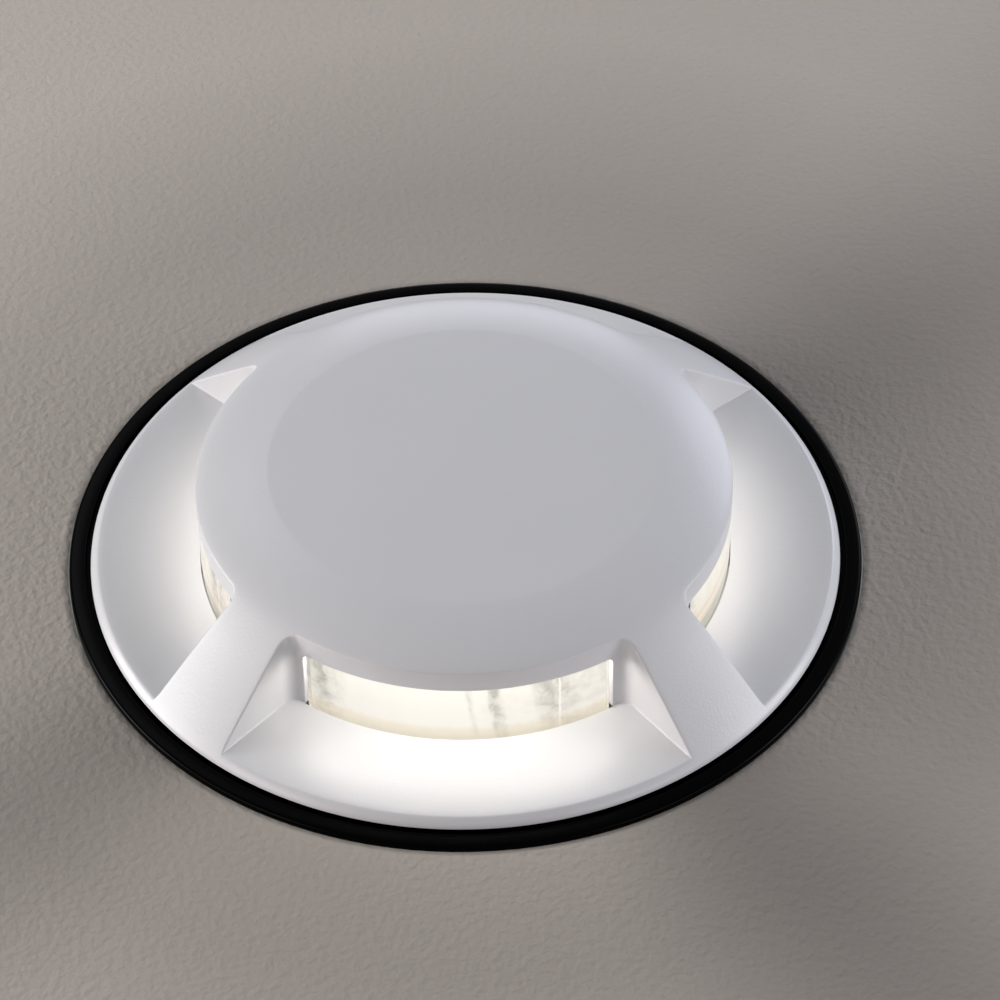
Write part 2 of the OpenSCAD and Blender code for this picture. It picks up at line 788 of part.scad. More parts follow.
module gland_seal() {
    seal_z = gland_nut_z + gland_nut_wall;
    color([0.12, 0.12, 0.13]) translate([0, 0, seal_z])
        ring(gland_seal_r, cable_d / 2, gland_hex_z - seal_z - touch_gap);
}

module gland_nut() {
    color([0.1, 0.1, 0.11]) translate([0, 0, gland_nut_z]) difference() {
        hex_prism(gland_nut_r, gland_nut_h);
        translate([0, 0, gland_nut_wall]) cylinder(r = gland_collar_r + fit_gap, h = gland_nut_h);
        translate([0, 0, -cut]) cylinder(r = gland_bore_r, h = gland_nut_wall + 2 * cut);
    }
}

// Spring clips

module on_left() {
    rotate([0, 0, 180]) children();
}

module clip_bracket() {
    color([0.78, 0.79, 0.8]) difference() {
        union() {
            translate([boss_x, -bracket_w / 2, bracket_low])
                cube([bracket_t, bracket_w, bracket_top - bracket_low]);
            for (side = [-1, 1])
                translate([boss_x, side * (bracket_w - ear_t) / 2 - ear_t / 2, pin_z - ear_h / 2])
                    cube([pin_x - boss_x + ear_past, ear_t, ear_h]);
        }
        translate([boss_x, 0, clip_screw_z]) rotate([0, -90, 0]) translate([0, 0, -bracket_t - cut])
            cylinder(d = m3[0] + 2 * thread_gap, h = bracket_t + 2 * cut);
        translate([pin_x, -bracket_w, pin_z]) rotate([-90, 0, 0])
            cylinder(r = eye_bore, h = 2 * bracket_w);
    }
}

module clip_pin() {
    color([0.75, 0.76, 0.78]) translate([pin_x, 0, pin_z]) rotate([-90, 0, 0]) {
        translate([0, 0, -bracket_w / 2]) cylinder(r = pin_r, h = bracket_w + pin_head);
        translate([0, 0, -bracket_w / 2 - pin_head]) cylinder(r = pin_r + 0.5, h = pin_head);
    }
}

module clip_arm() {
    color([0.8, 0.81, 0.82]) difference() {
        union() {
            translate([pin_x, arm_eye_y[0], pin_z]) rotate([-90, 0, 0])
                cylinder(r = eye_r, h = arm_eye_y[1] - arm_eye_y[0]);
            translate([0, clip_w / 2, 0]) rotate([90, 0, 0]) linear_extrude(clip_w) polygon([
                [pin_x + eye_r - clip_t, pin_z - 2.4], [pin_x + eye_r, pin_z - 2.4],
                [bend_x, bend_z], [bend_x - 0.3, bend_z - 1], [tip_x + clip_t, tip_z],
                [tip_x, tip_z], [bend_x - clip_t - 0.4, bend_z - 0.6], [bend_x - clip_t, bend_z]]);
            translate([pin_x + eye_r - clip_t, arm_eye_y[0] + 1.2, pin_z - 3])
                cube([clip_t, arm_eye_y[1] - arm_eye_y[0] - 1.2, 3]);
        }
        translate([pin_x, -bracket_w, pin_z]) rotate([-90, 0, 0]) cylinder(r = eye_bore, h = 2 * bracket_w);
    }
}

// Torsion spring: a straight leg, the coil around the pin, and a straight leg
module clip_spring() {
    leg_x = pin_x - coil_r;
    coil = [for (i = [1:coil_turns * coil_steps - 1]) let (a = 360 * i / coil_steps)
        [pin_x - coil_r * cos(a), coil_y + coil_pitch * i / coil_steps, pin_z - coil_r * sin(a)]];
    route = concat([[leg_x, coil_y, pin_z + coil_leg], [leg_x, coil_y, pin_z]], coil,
        [[leg_x, coil_y + coil_pitch * coil_turns, pin_z],
         [leg_x + 0.2, coil_y + coil_pitch * coil_turns, pin_z - 6]]);
    color([0.7, 0.71, 0.72]) tube(route, wire_r, [0, 1, 0], 6);
}

module clip_screws() {
    color([0.75, 0.76, 0.78]) for (side = [0, 180]) rotate([0, 0, side])
        translate([boss_x + bracket_t, 0, clip_screw_z]) rotate([0, -90, 0])
            screw(m3_low, bracket_t + clip_bite);
}

module clip_bracket_right() { clip_bracket(); }
module clip_bracket_left() { on_left() clip_bracket(); }
module clip_pin_right() { clip_pin(); }
module clip_pin_left() { on_left() clip_pin(); }
module clip_arm_right() { clip_arm(); }
module clip_arm_left() { on_left() clip_arm(); }
module clip_spring_right() { clip_spring(); }
module clip_spring_left() { on_left() clip_spring(); }

sleeve_collar();
sleeve_barrel();
sleeve_base();
entry_plugs();
rim_gasket();
cover();
cover_screws();
lens();
lens_gasket();
deflector();
deflector_screw();
led_board();
led_chips();
board_screws();
thermal_pad();
board_connector();
deck_grommet();
led_leads();
housing_plate();
housing_cup();
cooling_ribs();
driver();
driver_screws();
terminal_block();
terminal_screws();
input_leads();
lid();
lid_gasket();
lid_screws();
vent_plug();
vent_seal();
gland_body();
gland_oring();
gland_locknut();
gland_seal();
gland_nut();
clip_bracket_right();
clip_bracket_left();
clip_pin_right();
clip_pin_left();
clip_arm_right();
clip_arm_left();
clip_spring_right();
clip_spring_left();
clip_screws();
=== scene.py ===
import json
import math

import bmesh
import bpy
import numpy as np
from mathutils import Matrix, Vector


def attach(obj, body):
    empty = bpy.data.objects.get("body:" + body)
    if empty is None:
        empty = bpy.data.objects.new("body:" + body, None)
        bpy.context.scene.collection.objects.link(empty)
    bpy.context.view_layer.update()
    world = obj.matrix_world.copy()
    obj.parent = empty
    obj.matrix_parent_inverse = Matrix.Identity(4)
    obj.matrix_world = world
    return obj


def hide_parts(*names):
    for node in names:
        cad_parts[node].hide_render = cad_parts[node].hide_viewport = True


# A recessed step light: a white cover with four lit side windows, in a black installation sleeve.
# Sizes are in millimetres, as in the part's source; the meshes are made in metres.

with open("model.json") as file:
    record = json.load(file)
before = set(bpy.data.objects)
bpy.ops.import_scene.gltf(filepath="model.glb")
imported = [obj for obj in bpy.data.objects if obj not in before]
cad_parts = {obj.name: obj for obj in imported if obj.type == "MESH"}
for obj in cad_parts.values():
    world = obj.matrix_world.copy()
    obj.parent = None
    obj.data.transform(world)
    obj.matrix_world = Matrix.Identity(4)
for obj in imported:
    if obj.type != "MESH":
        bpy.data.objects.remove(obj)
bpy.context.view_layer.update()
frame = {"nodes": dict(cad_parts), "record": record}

MM = 0.001
QUARTERS = 4
MERGE_MM, CREASE = 0.002, math.radians(32)

# The cover's rim, crown, underside, rounded edges and the narrow band inside the rim
RIM_R, RIM_Z, SEAT_Z = 60.0, 2.6, 2.0
CROWN_R, CROWN_Z, CROWN_FALL = 30.85, 20.9, 0.35
LENS_BORE_R, POCKET_R, SPIGOT_R = 42.5, 45.25, 51.0
POCKET_Z, DECK_Z, CEILING_Z, DOME_Z = -0.5, -3.2, 15.0, 18.0
TOP_FILLET, LOW_FILLET = 0.34, 0.24
BAND_IN_R, BAND_OUT_R = 59.2, 59.5

# A window's floor, its outline in plan and its light slot
FLOOR_IN, FLOOR_OUT, FLOOR_BLEND = 2.65, 3.7, 0.25
FLOOR_START, FLOOR_RUN = 43.0, 15.0
FASCIA_R, FASCIA_IN = 42.4, 40.6
WINDOW_HALF, CORNER_R = math.radians(37.3), 2.2
KNEE_R, WALL_END_R = 57.0, 58.9
SLOT_HALF, SLOT_TOP, SLOT_ROUND, SLOT_EDGE = math.radians(34.0), 13.6, 1.25, 0.12

# The lens: its walls, levels, top edge, flutes, and the step between the windows on its map
LENS_R, LENS_RIB_R, LENS_IN_R = 42.34, 40.3, 38.1
LENS_TOP, LENS_ROOF, LENS_STEP, LENS_FOOT = 13.4, 11.0, 2.4, -2.4
LENS_SLOT_HALF, LENS_EDGE, HEAD_R = math.radians(33.05), 0.25, 41.24
FLUTES, FLUTE_DEPTH = 72, 0.05
MAP_STEP = 100.0

# The sleeve's collar, and the paving around it
BARREL_R, BORE_R, SEAT_R, FLANGE_R, FLANGE_Z = 54.0, 51.5, 60.9, 63.5, 2.2
PAVING_Z = 1.55

# Slope of the cover's top from the crown's edge to the rim, at these radii
SLOPE_R = np.array([30.85, 36.0, 40.5, 43.5, 48.0, 54.0, 58.0, 60.0])
SLOPE = np.array([0.12, 0.26, 0.46, 0.84, 0.95, 0.96, 1.0, 1.15])


# Shapes

def polar(r, angle, z):
    """Points at radius r, angle and height z, all of which broadcast."""
    r, angle, z = np.broadcast_arrays(np.asarray(r, float), angle, z)
    return np.stack([r * np.cos(angle), r * np.sin(angle), z], axis=-1)


def slope_at(r):
    """Slope of the cover's top at radius r: none on the crown, then straight lines between the knots."""
    return np.where(r < CROWN_R, 0.0, np.interp(r, SLOPE_R, SLOPE))


def top_height(r):
    """Height of the cover's top at radius r: a slight dome on the crown, then the crown's edge less the
    running sum of the slope."""
    table = np.linspace(CROWN_R, RIM_R, 600)
    slope = slope_at(table)
    fall = np.concatenate([[0], np.cumsum((slope[1:] + slope[:-1]) / 2 * np.diff(table))])
    crown = CROWN_FALL * np.minimum(np.asarray(r, float) / CROWN_R, 1) ** 2
    return CROWN_Z - crown - np.interp(r, table, fall * (CROWN_Z - CROWN_FALL - RIM_Z) / fall[-1])


def floor_height(r):
    """Height of a window's floor at radius r: a slight rise outwards from the lens, or the cover's top
    where that is lower. Near the edge where the two meet, their minimum less a square of what is left
    of the blend."""
    top = top_height(r)
    floor = FLOOR_IN + (FLOOR_OUT - FLOOR_IN) * np.clip((r - FLOOR_START) / FLOOR_RUN, 0, 1)
    left = np.maximum(FLOOR_BLEND - abs(top - floor), 0) / FLOOR_BLEND
    return np.minimum(top, floor) - left ** 2 * FLOOR_BLEND / 4


def angle_of(p):
    """Angle of each point about the axis."""
    return np.arctan2(p[..., 1], p[..., 0])


def reach(p):
    """Distance of each point from the axis."""
    return np.hypot(p[..., 0], p[..., 1])


def mirrored(a):
    """Columns on the window's other side, then the given ones: y changes sign and the order turns."""
    other = a[..., ::-1, :].copy()
    other[..., 1] *= -1
    return np.concatenate([other[..., :-1, :], a], axis=-2)


def turned(grid, turn):
    """The grid turned about the axis."""
    c, s = math.cos(turn), math.sin(turn)
    return grid @ np.array([[c, s, 0], [-s, c, 0], [0, 0, 1]])


def revolved(profile, columns=192):
    """A closed profile of (radius, height) points carried round the axis."""
    profile = np.asarray(profile, float)
    profile = np.concatenate([profile, profile[:1]])
    angle = np.linspace(0, 2 * math.pi, columns + 1)
    return polar(profile[:, :1], angle[None, :], profile[:, 1:])


def rounded(profile, radii, steps=5):
    """A closed profile whose corners are rounded: each corner becomes a quadratic curve between the two
    points that lie the given length before and after it."""
    profile = np.asarray(profile, float)
    before, after = np.roll(profile, 1, axis=0), np.roll(profile, -1, axis=0)
    radii = np.asarray(radii, float)[:, None]
    a = profile + (before - profile) / np.linalg.norm(before - profile, axis=1, keepdims=True) * radii
    b = profile + (after - profile) / np.linalg.norm(after - profile, axis=1, keepdims=True) * radii
    t = np.linspace(0, 1, steps)[None, :, None]
    curve = (1 - t) ** 2 * a[:, None] + 2 * t * (1 - t) * profile[:, None] + t ** 2 * b[:, None]
    return curve.reshape(-1, 2)


def window_edge():
    """Half of a window's outline in plan, from its middle to the rim: along the fascia's circle, round the
    corner's fillet and out along the side wall. Gives the points, the directions into the window, the
    heights of the light slot's top there, and the indices of the slot's end and the fillet's end."""
    straight = np.linspace(0, SLOT_HALF - SLOT_ROUND / FASCIA_R, 26)
    turn = np.linspace(0, math.pi / 2, 8)[1:]
    fascia = np.concatenate([straight, SLOT_HALF - SLOT_ROUND * (1 - np.sin(turn)) / FASCIA_R])
    slot_top = np.concatenate([np.full(26, SLOT_TOP), SLOT_TOP - SLOT_ROUND * (1 - np.cos(turn))])

    post_r = FASCIA_R + CORNER_R
    start = WINDOW_HALF - math.asin(CORNER_R / post_r)
    bend = np.linspace(start + math.pi, WINDOW_HALF + math.pi / 2, 13)
    corner = polar(post_r, start, 0) + polar(CORNER_R, bend, 0)
    out = np.concatenate([np.linspace(reach(corner[-1]), KNEE_R, 22)[1:], np.linspace(KNEE_R, 58.2, 4)[1:],
                          np.linspace(58.2, WALL_END_R, 8)[1:]])

    points = np.concatenate([polar(FASCIA_R, fascia, 0), corner, polar(out, WINDOW_HALF, 0)])
    inward = np.concatenate([polar(1, fascia, 0), -polar(1, bend, 0),
                             polar(np.ones_like(out), WINDOW_HALF - math.pi / 2, 0)])
    slot_top = np.concatenate([slot_top, np.full(len(points) - len(slot_top), slot_top[-1])])
    return points, inward, slot_top, len(fascia) - 1, len(fascia) + len(corner) - 1


def cover_grids():
    """The cover as grids that share their edges, for one quarter around the window that faces +X."""
    edge, inward, slot_top, slot_end, bend_end = window_edge()
    r = reach(edge)
    zf = floor_height(r)
    height = top_height(r) - zf
    on_wall = np.arange(len(r)) >= slot_end

    # The wall's upper fillet starts with the top's slope across the wall and ends upright
    top_fillet = np.minimum(TOP_FILLET, 0.45 * height)
    tilt = np.arctan(slope_at(r) * np.sum(edge * inward, axis=1) / r)
    top_edge = edge - inward * (top_fillet * (1 - np.sin(tilt)))[:, None]
    top_edge[:, 2] = top_height(reach(top_edge))
    wall_top = top_edge[:, 2] - top_fillet * np.cos(tilt)

    # The lower fillet starts upright and ends flat
    grow = np.clip((np.arange(len(r)) - slot_end) / 6, 0, 1)
    low_fillet = np.minimum(LOW_FILLET, 0.35 * height) * grow
    wall_low = zf + low_fillet
    share = (slot_top[slot_end] - wall_low[slot_end]) / (wall_top[slot_end] - wall_low[slot_end])
    middle = np.where(on_wall, wall_low + share * (wall_top - wall_low), slot_top)

    def at(depth, z):
        p = edge + inward * depth[..., None]
        p[..., 2] = z
        return p

    q = np.linspace(0, 1, 7)[:, None]
    bend = (math.pi / 2 - tilt) * (1 - q)
    upper = np.concatenate([
        at(top_fillet * (np.cos(bend) - 1), wall_top + top_fillet * np.sin(bend)),
        at(0 * q[1:] * r, wall_top + (middle - wall_top) * q[1:])])
    bend = math.pi / 2 * q
    lower = np.concatenate([
        at(0 * q * r, middle + (wall_low - middle) * q),
        at(low_fillet * (1 - np.cos(bend)), wall_low - low_fillet * np.sin(bend))[1:]])[:, slot_end:]

    # The floor: rays from the window's back edge to the rim
    floor_edge = edge + inward * low_fillet[:, None]
    floor_edge[:slot_end] = polar(LENS_BORE_R, angle_of(edge[:slot_end]), 0)
    side = floor_edge[bend_end:]
    back = floor_edge[:bend_end + 1]
    r_side, r_back = reach(side)[:, None], reach(back)[None, :]
    knee = reach(floor_edge)[np.argmin(abs(r - KNEE_R))]
    part = np.minimum((r_side - r_side[0]) / (knee - r_side[0]), 1)
    r_floor = np.where(part < 1, r_back + (knee - r_back) * part, r_side)
    floor = polar(r_floor, angle_of(back)[None, :] * angle_of(side)[:, None] / angle_of(back)[-1],
                  floor_height(r_floor))

    # The disc: rays from the middle to the windows' edges, and the rib between two windows
    rings = np.array([0, 5, 10, 15, 20, 25, 29, 30.6, 30.85, 31.1, 32.5, 34, 35.5, 37, 38.5, 39.4])
    out = np.linspace(0, 1, 7)[1:, None]
    rays = top_edge[:bend_end + 1]
    r_disc = np.concatenate([np.repeat(rings[:, None], len(rays), 1),
                             rings[-1] + (reach(rays) - rings[-1]) * out])
    disc = polar(r_disc, angle_of(rays), top_height(r_disc))
    border = np.concatenate([disc[:, -1], top_edge[bend_end + 1:]])
    start = np.concatenate([np.full(len(disc), angle_of(rays)[-1]), angle_of(top_edge[bend_end + 1:])])
    across = np.linspace(0, 1, 19)
    rib = polar(reach(border)[:, None], start[:, None] + (math.pi / 2 - 2 * start[:, None]) * across,
                top_height(reach(border))[:, None])

    # The rim's rolled edge and the underside: the outer chain of points carried down and inwards
    wall_column = np.concatenate([lower[::-1, -1][:-1], upper[::-1, -1]])
    next_column = wall_column[::-1] * [1, -1, 1]
    floor_row = mirrored(floor[-1])
    chain = np.concatenate([floor_row, wall_column[1:], rib[-1][1:-1], turned(next_column, math.pi / 2)])
    rim_angle = np.unwrap(angle_of(chain))
    back_angle = angle_of(mirrored(back))
    inner_rib = back_angle[-1] + (math.pi / 2 - 2 * back_angle[-1]) * across
    inner_angle = np.concatenate([back_angle, np.full(len(wall_column) - 1, back_angle[-1]),
                                  inner_rib[1:-1], np.full(len(wall_column), inner_rib[-1])])
    t = np.linspace(0, 1, 6)[:, None]
    band_r = np.array([[BAND_IN_R], [BAND_OUT_R]])
    roll_r = (1 - t) ** 2 * band_r[1] + 2 * t * (1 - t) * 59.92 + t ** 2 * RIM_R
    roll_z = (1 - t) ** 2 * top_height(band_r[1]) + 2 * t * (1 - t) * 2.7 + t ** 2 * (SEAT_Z + 0.2)
    roll = np.concatenate([chain[None], polar(band_r[:1], rim_angle, top_height(band_r[:1])),
                           polar(roll_r, rim_angle, roll_z)])
    under = np.array([[RIM_R, SEAT_Z + 0.2, 0], [RIM_R - 0.25, SEAT_Z + 0.03, 0], [RIM_R - 1.4, SEAT_Z, 0],
                      [SPIGOT_R, SEAT_Z, 0.5], [SPIGOT_R, DECK_Z, 0.5], [POCKET_R, DECK_Z, 1],
                      [POCKET_R, POCKET_Z, 1], [LENS_BORE_R, POCKET_Z, 1], [LENS_BORE_R, FLOOR_IN, 1]])
    underside = polar(under[:, :1], rim_angle + (inner_angle - rim_angle) * under[:, 2:], under[:, 1:2])

    # The light slot's lining: its outline carried inwards, round the outer edge first
    jamb = lower[::-1, 0]
    top_row = upper[-1][:slot_end]
    outline = mirrored(np.concatenate([top_row, jamb[::-1]]))
    along = angle_of(outline) * FASCIA_R
    x_limit, z_limit = SLOT_HALF * FASCIA_R - SLOT_ROUND, SLOT_TOP - SLOT_ROUND
    off = np.stack([np.sign(along) * np.maximum(abs(along) - x_limit, 0),
                    np.maximum(outline[:, 2] - z_limit, 0)], axis=1)
    off /= np.maximum(np.linalg.norm(off, axis=1, keepdims=True), 1e-9)
    bend = np.linspace(0, math.pi / 2, 5)
    aside = SLOT_EDGE * np.concatenate([np.sin(bend), [1]])[:, None]
    depth = np.concatenate([SLOT_EDGE * (1 - np.cos(bend)), [FASCIA_R - FASCIA_IN]])[:, None]
    lining = polar(FASCIA_R - depth, (along - off[:, 0] * aside) / FASCIA_R,
                   outline[:, 2] - off[:, 1] * aside)

    # Inside: a shelf over the lens bore, the wall between two slots, and the dome
    between = np.concatenate([angle_of(back)[slot_end:], inner_rib[1:-1],
                              math.pi / 2 - angle_of(back)[slot_end:][::-1]])
    first, last = between[0], between[-1]
    inner = lining[-1, -1]
    inner_first = angle_of(inner)
    squeezed = inner_first + (between - first) * (math.pi / 2 - 2 * inner_first) / (last - first)
    rim_of_slot = lining[:, -1]
    shelf_r = np.concatenate([[LENS_BORE_R], reach(rim_of_slot)])
    shelf_first = np.concatenate([[first], angle_of(rim_of_slot)])[:, None]
    shelf_angle = shelf_first + (between - first) * (math.pi / 2 - 2 * shelf_first) / (last - first)
    shelf = polar(shelf_r[:, None], shelf_angle, FLOOR_IN)
    jamb_z = lining[-1, -len(jamb):, 2][:, None]
    post = polar(FASCIA_IN, squeezed, jamb_z)
    slot_row = lining[-1, len(jamb) - 1:-(len(jamb) - 1)]
    inner_angles = np.concatenate([angle_of(slot_row), squeezed[1:]])
    inner_z = np.concatenate([slot_row[:, 2], np.full(len(squeezed) - 1, slot_row[-1, 2])])
    inside = np.concatenate([
        polar(FASCIA_IN, inner_angles, inner_z)[None],
        polar(np.array([[FASCIA_IN], [CROWN_R - 2], [0]]), inner_angles,
              np.array([[CEILING_Z], [DOME_Z], [DOME_Z]]))])

    return [mirrored(upper), lower, lower * [1, -1, 1], mirrored(floor), mirrored(disc), rib, roll,
            underside, lining, shelf, post, inside]


def lens_grid():
    """The lens cup: a profile carried round the axis. Its outer wall stands forward in the four slots and
    back behind the ribs, so the radius steps with the angle; fine flutes wave its inner wall."""
    half = LENS_SLOT_HALF
    step = np.array([-half - 0.0005, -half])
    angle = np.concatenate([np.linspace(-math.pi / 4, -half, 7)[:-1], step,
                            np.linspace(-half, half, 90)[1:-1], -step[::-1],
                            np.linspace(half, math.pi / 4, 7)[1:-1]])
    angle = (angle[None, :] + np.arange(QUARTERS)[:, None] * math.pi / 2).ravel()
    angle = np.append(angle, angle[0] + 2 * math.pi)
    inside_slot = abs((angle + math.pi / 4) % (math.pi / 2) - math.pi / 4) <= half + 1e-6
    wall = np.where(inside_slot, LENS_R, LENS_RIB_R)
    foot = np.full_like(angle, LENS_R)
    flute = LENS_IN_R + FLUTE_DEPTH * np.cos(angle * FLUTES)
    flange = POCKET_R - 0.15
    rows = [(0 * angle, LENS_TOP), (wall - 2.0, LENS_TOP), (wall - LENS_EDGE, LENS_TOP),
            (wall - 0.07, LENS_TOP - 0.07), (wall, LENS_TOP - LENS_EDGE)]
    rows += [(wall, z) for z in np.linspace(LENS_TOP - LENS_EDGE, LENS_STEP, 12)[1:]]
    rows += [(foot, LENS_STEP), (foot, POCKET_Z), (0 * angle + flange, POCKET_Z),
             (0 * angle + flange, LENS_FOOT), (flute, LENS_FOOT)]
    rows += [(flute, z) for z in np.linspace(LENS_FOOT, LENS_ROOF, 14)[1:]]
    rows += [(0 * angle, LENS_ROOF)]
    radii, heights = zip(*rows)
    return polar(np.stack(radii), angle, np.array(heights)[:, None])


# Meshes

def build_piece(name, grids, materials, body=None, replaced=None):
    """Grids of points in millimetres become one mesh: quads between neighbours, doubles merged, leftover
    slits filled and faces turned outwards, which a volume above zero shows."""
    points, quads, count = [], [], 0
    for grid in grids:
        rows, columns = grid.shape[:2]
        index = count + np.arange(rows * columns).reshape(rows, columns)
        quads.append(np.stack([index[:-1, :-1], index[:-1, 1:], index[1:, 1:], index[1:, :-1]],
                              axis=-1).reshape(-1, 4))
        points.append(grid.reshape(-1, 3) * MM)
        count += rows * columns
    mesh = bpy.data.meshes.new(name)
    mesh.from_pydata(np.concatenate(points), [], np.concatenate(quads))
    shell = bmesh.new()
    shell.from_mesh(mesh)
    bmesh.ops.remove_doubles(shell, verts=shell.verts, dist=MERGE_MM * MM)
    bmesh.ops.dissolve_degenerate(shell, edges=shell.edges, dist=MERGE_MM * MM / 4)
    slits = [edge for edge in shell.edges if edge.is_boundary]
    if slits:
        bmesh.ops.holes_fill(shell, edges=slits, sides=8)
    bmesh.ops.recalc_face_normals(shell, faces=shell.faces)
    if shell.calc_volume(signed=True) < 0:
        bmesh.ops.reverse_faces(shell, faces=shell.faces)
    shell.to_mesh(mesh)
    shell.free()
    mesh.polygons.foreach_set("use_smooth", np.ones(len(mesh.polygons), bool))
    mesh.set_sharp_from_angle(angle=CREASE)
    for material in materials:
        mesh.materials.append(material)
    piece = bpy.data.objects.new(name, mesh)
    bpy.context.scene.collection.objects.link(piece)
    if body:
        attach(piece, body)
    if replaced:
        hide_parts(replaced)
    return piece


def unroll_lens(lens):
    """Maps the lens's inner wall in millimetres: along the arc from the middle of the window that faces
    -Y, and up. That wall's faces get the lit material; the top edges in the slots and the flange's foot
    get theirs."""
    def read(items, label, width=1, kind=float):
        values = np.empty(len(items) * width, dtype=kind)
        items.foreach_get(label, values)
        return values.reshape(-1, width) if width > 1 else values

    mesh = lens.data
    place = read(mesh.vertices, "co", 3) / MM
    corner = read(mesh.loops, "vertex_index", kind=np.int32)
    centre = read(mesh.polygons, "center", 3) / MM
    normal = read(mesh.polygons, "normal", 3)
    size = read(mesh.polygons, "loop_total", kind=np.int32)
    window = np.repeat(np.round(angle_of(centre) / (math.pi / 2) + 1) % QUARTERS, size)
    turn = angle_of(place[corner]) - (window - 1) * math.pi / 2
    turn = (turn + math.pi) % (2 * math.pi) - math.pi
    # The four windows lie side by side on the map
    along = turn * LENS_IN_R + window * MAP_STEP
    layer = mesh.uv_layers.new(name="unrolled")
    layer.data.foreach_set("uv", np.stack([along, place[corner, 2]], axis=1).ravel())
    inner = (abs(reach(centre) - LENS_IN_R) < 0.3) & (abs(normal[:, 2]) < 0.5)
    head = (centre[:, 2] > LENS_TOP - 0.02) & (abs(reach(centre) - HEAD_R) < 0.4)
    foot = (centre[:, 2] < POCKET_Z - 0.1) & (reach(centre) > LENS_IN_R + 0.3)
    mesh.polygons.foreach_set("material_index", (inner + 2 * head + 3 * foot).astype(np.int32))


# Materials

def new_group(name, inputs, outputs):
    """An empty node group with named sockets; gives the group and its input and output nodes."""
    group = bpy.data.node_groups.new(name, "ShaderNodeTree")
    for label, kind, value in inputs:
        socket = group.interface.new_socket(label, in_out="INPUT", socket_type=kind)
        if value is not None:
            socket.default_value = value
    for label, kind in outputs:
        group.interface.new_socket(label, in_out="OUTPUT", socket_type=kind)
    return group, group.nodes.new("NodeGroupInput"), group.nodes.new("NodeGroupOutput")


def add(tree, kind, inputs=None, **settings):
    """A node with its settings and its inputs' values or links."""
    node = tree.nodes.new(kind)
    for label, value in settings.items():
        setattr(node, label, value)
    for label, value in (inputs or {}).items():
        if isinstance(value, bpy.types.NodeSocket):
            tree.links.new(value, node.inputs[label])
        else:
            node.inputs[label].default_value = value
    return node


def make_grain_group():
    """Fine lumps of a coat or a moulded skin: two noises, the second three times as fine."""
    group, given, result = new_group(
        "surface_grain", [("Vector", "NodeSocketVector", None), ("Size", "NodeSocketFloat", 0.4)],
        [("Height", "NodeSocketFloat"), ("Mottle", "NodeSocketFloat")])
    scale = add(group, "ShaderNodeMath", {0: 1000.0, 1: given.outputs["Size"]}, operation="DIVIDE")
    fine = add(group, "ShaderNodeMath", {0: scale.outputs[0], 1: 3.0}, operation="MULTIPLY")
    broad = add(group, "ShaderNodeMath", {0: scale.outputs[0], 1: 0.02}, operation="MULTIPLY")
    lumps = add(group, "ShaderNodeTexNoise", {"Vector": given.outputs["Vector"], "Scale": scale.outputs[0],
                                              "Detail": 1.0, "Roughness": 0.45})
    dust = add(group, "ShaderNodeTexNoise", {"Vector": given.outputs["Vector"], "Scale": fine.outputs[0],
                                             "Detail": 1.0})
    cloud = add(group, "ShaderNodeTexNoise", {"Vector": given.outputs["Vector"], "Scale": broad.outputs[0],
                                              "Detail": 3.0})
    part = add(group, "ShaderNodeMath", {0: dust.outputs["Fac"], 1: 0.25}, operation="MULTIPLY")
    height = add(group, "ShaderNodeMath", {0: lumps.outputs["Fac"], 1: part.outputs[0]}, operation="ADD")
    group.links.new(height.outputs[0], result.inputs["Height"])
    group.links.new(cloud.outputs["Fac"], result.inputs["Mottle"])
    return group


def make_wear_group():
    """Edges that use has rubbed: the difference between a bevelled normal and the true one, roughened."""
    group, given, result = new_group(
        "rubbed_edges", [("Vector", "NodeSocketVector", None), ("Width", "NodeSocketFloat", 0.0004)],
        [("Edge", "NodeSocketFloat")])
    bevel = add(group, "ShaderNodeBevel", {"Radius": given.outputs["Width"]}, samples=4)
    true = add(group, "ShaderNodeNewGeometry")
    dot = add(group, "ShaderNodeVectorMath", {0: bevel.outputs[0], 1: true.outputs["Normal"]},
              operation="DOT_PRODUCT")
    noise = add(group, "ShaderNodeTexNoise", {"Vector": given.outputs["Vector"], "Scale": 900.0,
                                              "Detail": 3.0})
    spread = add(group, "ShaderNodeMapRange", {"Value": dot.outputs["Value"], "From Min": 1.0,
                                               "From Max": 0.8, "To Min": 0.0, "To Max": 1.0})
    mask = add(group, "ShaderNodeMath", {0: spread.outputs[0], 1: noise.outputs["Fac"]},
               operation="MULTIPLY")
    group.links.new(mask.outputs[0], result.inputs["Edge"])
    return group


GRAIN = make_grain_group()
WEAR = make_wear_group()


